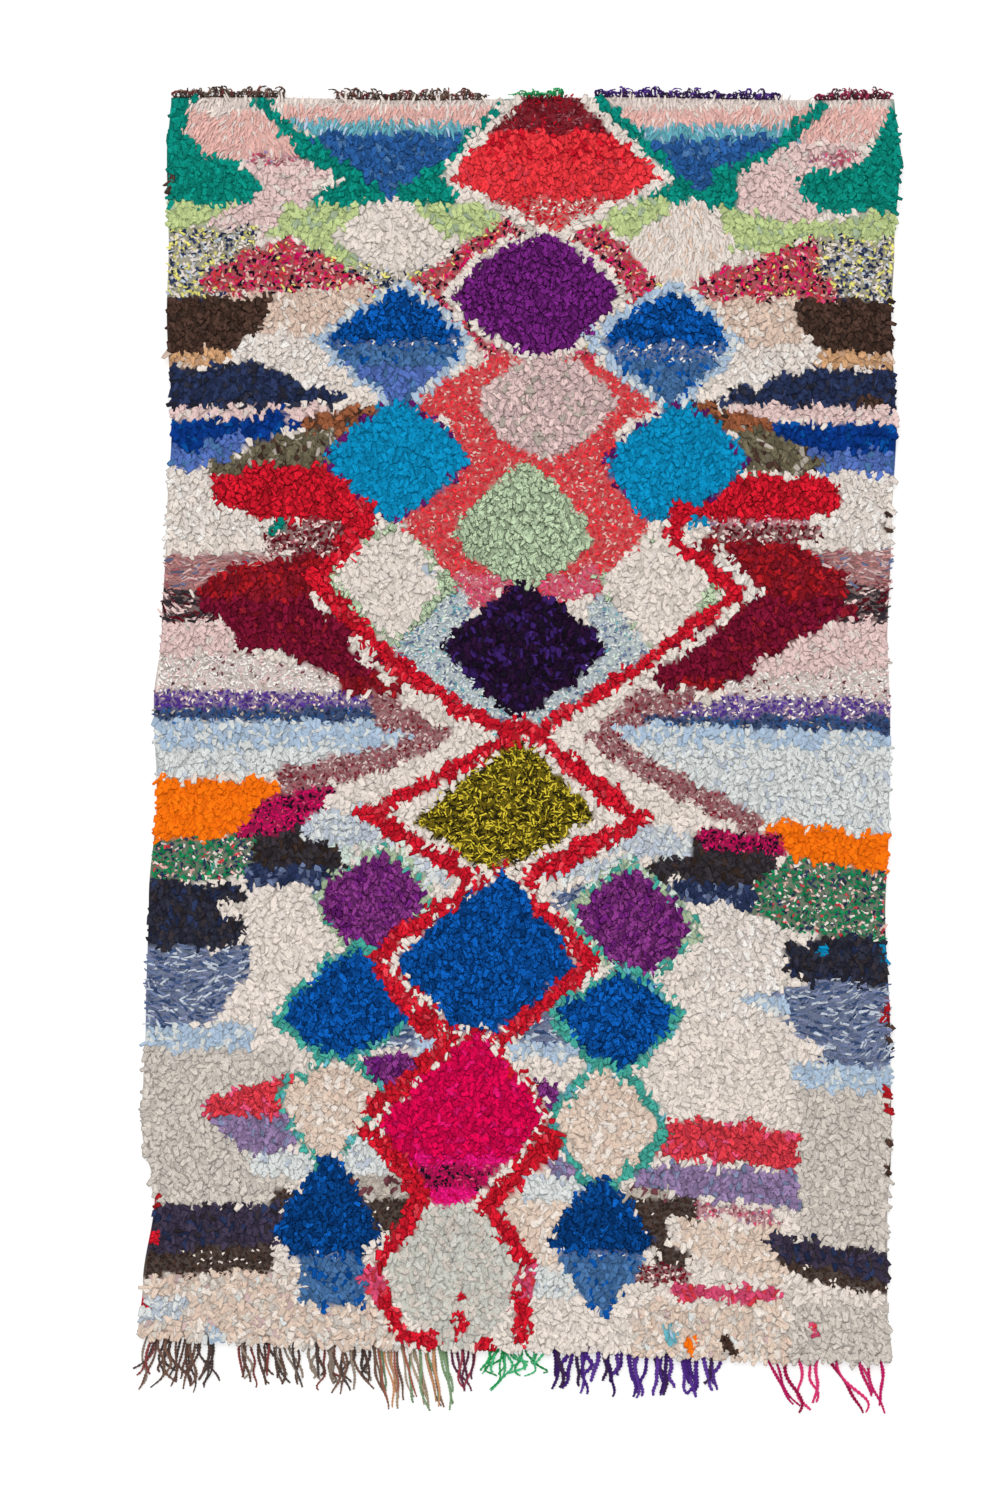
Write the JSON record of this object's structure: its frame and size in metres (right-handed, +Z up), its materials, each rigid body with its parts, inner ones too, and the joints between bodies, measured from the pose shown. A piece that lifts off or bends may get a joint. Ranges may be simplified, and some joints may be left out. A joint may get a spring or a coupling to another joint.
{
  "type": "boucherouite rug",
  "caption": "Shaggy knotted rag rug lying flat, with stacked lozenges and side bands in many colours, wandering sides and loose warp ends along its lower edge.",
  "frame": {"origin": "middle of the underside of the whole rug, fringe included, at floor level", "axes": "+Z up through the pile, +Y along the rug towards its plain top edge, +X to the right of a viewer who looks down on it with the fringe nearest"},
  "size_m": [1.5554, 2.6842, 0.0326],
  "materials": {
    "rag_pile": "matt cotton and wool rag pile in many colours",
    "umber_warp": "matt twisted wool",
    "mixed_warp": "matt twisted wool in several colours",
    "rose_warp": "matt twisted wool",
    "green_warp": "matt twisted wool",
    "violet_warp": "matt twisted wool",
    "magenta_warp": "matt twisted wool"
  },
  "bodies": {
    "root": {"pile_field": "rag_pile", "fringe_umber_1": "umber_warp", "fringe_umber_2": "umber_warp", "fringe_umber_3": "umber_warp", "fringe_mixed": "mixed_warp", "fringe_rose": "rose_warp", "fringe_green": "green_warp", "fringe_violet": "violet_warp", "fringe_magenta": "magenta_warp", "stubs_umber_1": "umber_warp", "stubs_umber_2": "umber_warp", "stubs_green": "green_warp", "stubs_violet": "violet_warp", "stubs_wine": "magenta_warp"}
  },
  "joints": []
}
